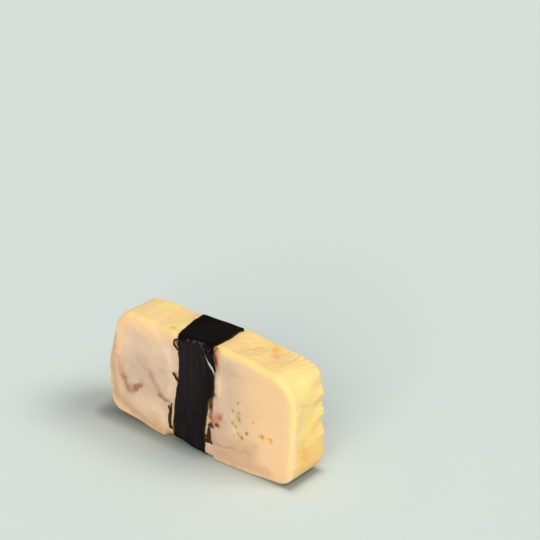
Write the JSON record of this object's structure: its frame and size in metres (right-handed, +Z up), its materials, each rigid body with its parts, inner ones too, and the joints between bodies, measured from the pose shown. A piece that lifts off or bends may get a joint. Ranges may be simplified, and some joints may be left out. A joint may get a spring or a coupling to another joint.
{
  "type": "rolled omelette slice with a nori belt",
  "caption": "Thick oblong slice of rolled omelette standing on its long edge, with a torn strip of nori wrapped round its middle.",
  "frame": {"origin": "middle of the foot, on the surface that the slice stands on", "axes": "+X along the slice's length, +Y through its thickness, +Z up; the front cut face looks along -Y"},
  "size_m": [0.082, 0.0196, 0.0418],
  "materials": {
    "omelette": "moist cooked egg: pale cut faces, yellow skin",
    "nori": "black dried seaweed sheet with a dull sheen"
  },
  "bodies": {
    "root": {"egg_slice": "omelette", "nori_band": "nori"}
  },
  "joints": []
}
